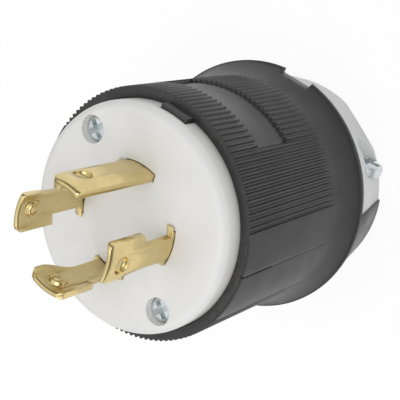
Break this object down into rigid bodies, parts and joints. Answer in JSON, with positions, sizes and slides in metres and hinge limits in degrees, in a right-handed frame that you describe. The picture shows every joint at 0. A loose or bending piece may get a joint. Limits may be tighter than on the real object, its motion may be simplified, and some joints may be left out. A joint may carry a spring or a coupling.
{
  "type": "locking power plug",
  "caption": "Round locking power plug with curved hooked brass blades, a white insulating face, a ribbed black flared housing and a screwed two-jaw cord clamp.",
  "frame": {"origin": "centre of the flat rear face of the cord clamp, on the axis of the cord passage; the plug stands on this face", "axes": "+Z along the plug's axis from the cord end to the blade tips; X along the seam between the clamp jaws; -Y towards the upper jaw, the ground blade and the bare pad"},
  "size_m": [0.0642, 0.0642, 0.0966],
  "materials": {
    "black_nylon": "fine moulded grain, slight sheen",
    "white_nylon": "smooth moulded white nylon",
    "grey_white_nylon": "smooth moulded white nylon, fine grain",
    "block_plastic": "moulded",
    "brass": "stamped and tumbled brass",
    "plate_steel": "plated stamped steel",
    "green_steel": "green dyed steel",
    "nickel_steel": "nickel plated",
    "brass_screw": "turned brass",
    "zinc_steel": "bright zinc plated",
    "zinc_nut": "zinc plated",
    "seal_rubber": "moulded rubber"
  },
  "bodies": {
    "root": {"housing": "black_nylon", "lower_jaw": "black_nylon", "front_face": "white_nylon", "upper_jaw": "grey_white_nylon", "terminal_block": "block_plastic", "ground_blade": "brass", "neutral_blade": "brass", "line_blade_x": "brass", "line_blade_y": "brass", "clamp_plate_ground": "plate_steel", "clamp_plate_neutral": "plate_steel", "clamp_plate_x": "plate_steel", "clamp_plate_y": "plate_steel", "terminal_screw_ground": "green_steel", "terminal_screw_neutral": "nickel_steel", "terminal_screw_x": "brass_screw", "terminal_screw_y": "brass_screw", "assembly_screw_a": "zinc_steel", "assembly_screw_b": "zinc_steel", "jaw_screw_left": "zinc_steel", "jaw_screw_right": "zinc_steel", "assembly_nut_a": "zinc_nut", "assembly_nut_b": "zinc_nut", "jaw_nut_left": "zinc_nut", "jaw_nut_right": "zinc_nut", "cord_seal": "seal_rubber"}
  },
  "joints": []
}
